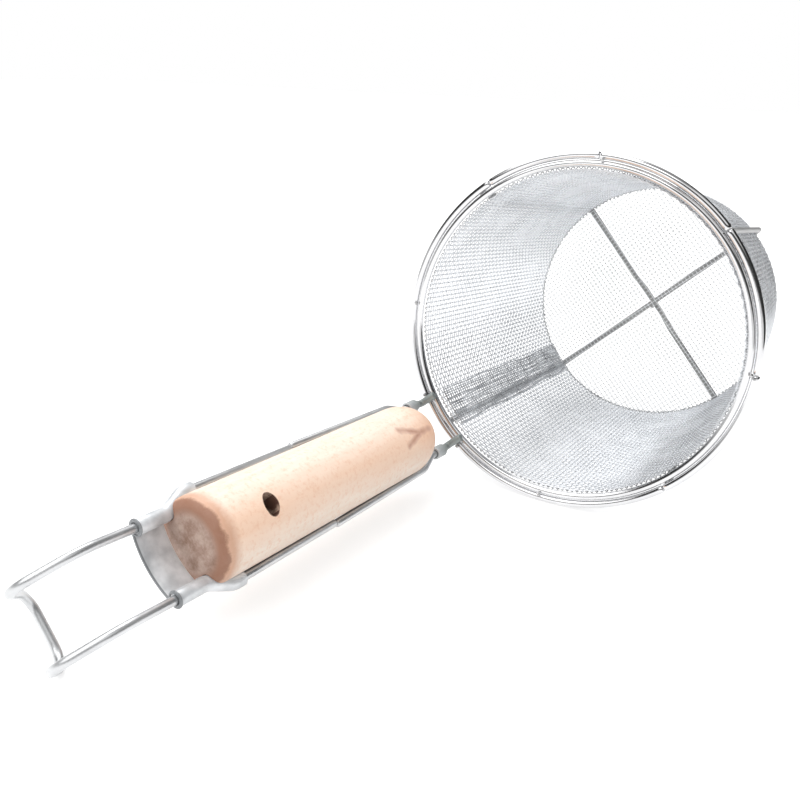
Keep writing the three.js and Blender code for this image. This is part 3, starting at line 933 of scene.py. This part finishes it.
def add_grip():
    """The turned grip with its grooves for the wires and sleeves, and its hanging hole."""
    vertices, faces = turned(grip_outline(), GRIP_SIDES)
    vertices = [(out - GRIP_RAISE, across, along) for out, across, along in vertices]
    grip = make_piece("grip", vertices, faces, HANDLE, WOOD, "wood", ["wood_grip"])
    cut_with(grip, *tube(FRAME_POINTS, WIRE_BORE, STRAP_SIDES, first_normal=(0, 1, 0)))
    for side in (-1, 1):
        cut_with(grip, *tube(bend_path(side), SLEEVE_RADIUS + GAP, WIRE_SIDES, first_normal=(0, 1, 0)))
    cut_with(grip, *hanging_hole())
    grip.data.shade_smooth()
    grip.data.set_sharp_from_angle(angle=math.radians(40))


add_wall()
add_seam()
add_bottom()
add_hems()
add_rings()
add_straps()
add_welds()
add_frame_wire()
add_clips()
add_grip()


# Studio

CAMERA_EYE = (-125.2, 25.5, 366.8)
CAMERA_AIM = (119.1, -40.4, 0.0)
CAMERA_UP = (-0.502, -0.845, -0.183)
LENS = 41.1
SENSOR = 36
SHIFT = (0.0938, -0.0025)
FLOOR_REACH = 6.0
FLOOR_GLOW = 0.50
LAMP_SPREAD = math.radians(50)
# What reflections show of the studio, as (height, grey level), where 0 is level and 1 is overhead
STUDIO_BANDS = [(0.0, 1.0), (0.12, 0.9), (0.22, 0.06), (0.52, 0.04), (0.62, 1.0), (0.85, 1.0), (0.93, 0.3)]
# Dark cloths beside the strainer, which only reflections show, as (direction, amount)
DARK_CLOTHS = (((0.84, 0.54, 0.0), 1.0), ((-0.84, -0.54, 0.0), 0.4))
CLOTH_GREY = (0.03, 0.03, 0.03, 1)
WHITE = (1, 1, 1, 1)
# The world's strength where it lights the object and where it is seen
LIGHT_LEVEL = 0.82
SEEN_LEVEL = 1.0


def add_camera():
    """Looks at the strainer from the photograph's place; eye, aim and up are in the basket frame."""
    data = bpy.data.cameras.new("camera")
    data.lens = LENS
    data.sensor_width = SENSOR
    data.shift_x, data.shift_y = SHIFT
    data.clip_start = 0.01
    camera = bpy.data.objects.new("camera", data)
    bpy.context.scene.collection.objects.link(camera)
    eye = BASKET @ (Vector(CAMERA_EYE) * MM)
    back = (eye - BASKET @ (Vector(CAMERA_AIM) * MM)).normalized()
    right = (BASKET.to_3x3() @ Vector(CAMERA_UP)).cross(back).normalized()
    turn = Matrix((right, back.cross(right), back)).transposed().to_4x4()
    camera.matrix_world = Matrix.Translation(eye) @ turn
    bpy.context.scene.camera = camera


def add_floor():
    """A pale floor, whose glow makes it white where it is seen and lights nothing by diffuse rays."""
    mesh = bpy.data.meshes.new("floor")
    corners = [(x * FLOOR_REACH, y * FLOOR_REACH, 0) for x, y in ((-1, -1), (1, -1), (1, 1), (-1, 1))]
    mesh.from_pydata(corners, [], [(0, 1, 2, 3)])
    floor = bpy.data.objects.new("floor", mesh)
    bpy.context.scene.collection.objects.link(floor)
    shader = Shader("floor")
    shade = shader.ramp(shader.noise(3.0), [(0.3, 0.67), (0.7, 0.69)])
    shader.set(Base_Color=shade, Roughness=0.9, Specular_IOR_Level=0.1)
    glow = shader.math("MULTIPLY", shader.seen_directly(), FLOOR_GLOW)
    shader.set(Emission_Color=WHITE, Emission_Strength=glow)
    floor.data.materials.append(shader.material)


def add_world():
    """Even white light, and a studio with dark bands and cloths for reflections alone."""
    world = bpy.data.worlds.new("studio")
    bpy.context.scene.world = world
    world.use_nodes = True
    studio = Nodes(world.node_tree)
    direction = studio.add("ShaderNodeTexCoord").outputs["Generated"]
    height = studio.add("ShaderNodeSeparateXYZ", {"Vector": direction}).outputs["Z"]
    mirror = studio.ramp(height, STUDIO_BANDS)
    for towards, amount in DARK_CLOTHS:
        facing = studio.vector("DOT_PRODUCT", "Value", first=direction, second=towards)
        mirror = studio.mix(studio.fade(facing, 0.3, 0.55, 0.0, amount), mirror, CLOTH_GREY)
    glossy = studio.add("ShaderNodeLightPath").outputs["Is Glossy Ray"]
    background = studio.nodes["Background"].inputs
    studio.join(studio.mix(glossy, WHITE, mirror), background["Color"])
    strength = studio.fade(studio.seen_directly(), 0.0, 1.0, LIGHT_LEVEL, SEEN_LEVEL)
    studio.join(strength, background["Strength"])


def add_lamp(name, energy, direction):
    """A very soft lamp that shines in a direction of the row frame."""
    data = bpy.data.lights.new(name, "SUN")
    data.energy = energy
    data.angle = LAMP_SPREAD
    lamp = bpy.data.objects.new(name, data)
    bpy.context.scene.collection.objects.link(lamp)
    lamp.rotation_euler = Vector(direction).to_track_quat("-Z", "Y").to_euler()


add_camera()
add_floor()
add_world()
add_lamp("softbox", 1.4, (0.45, -0.2, -1.0))
add_lamp("fill_into_the_mouth", 0.8, (0.3, 0.6, -0.74))
bpy.context.scene.view_settings.view_transform = "Standard"
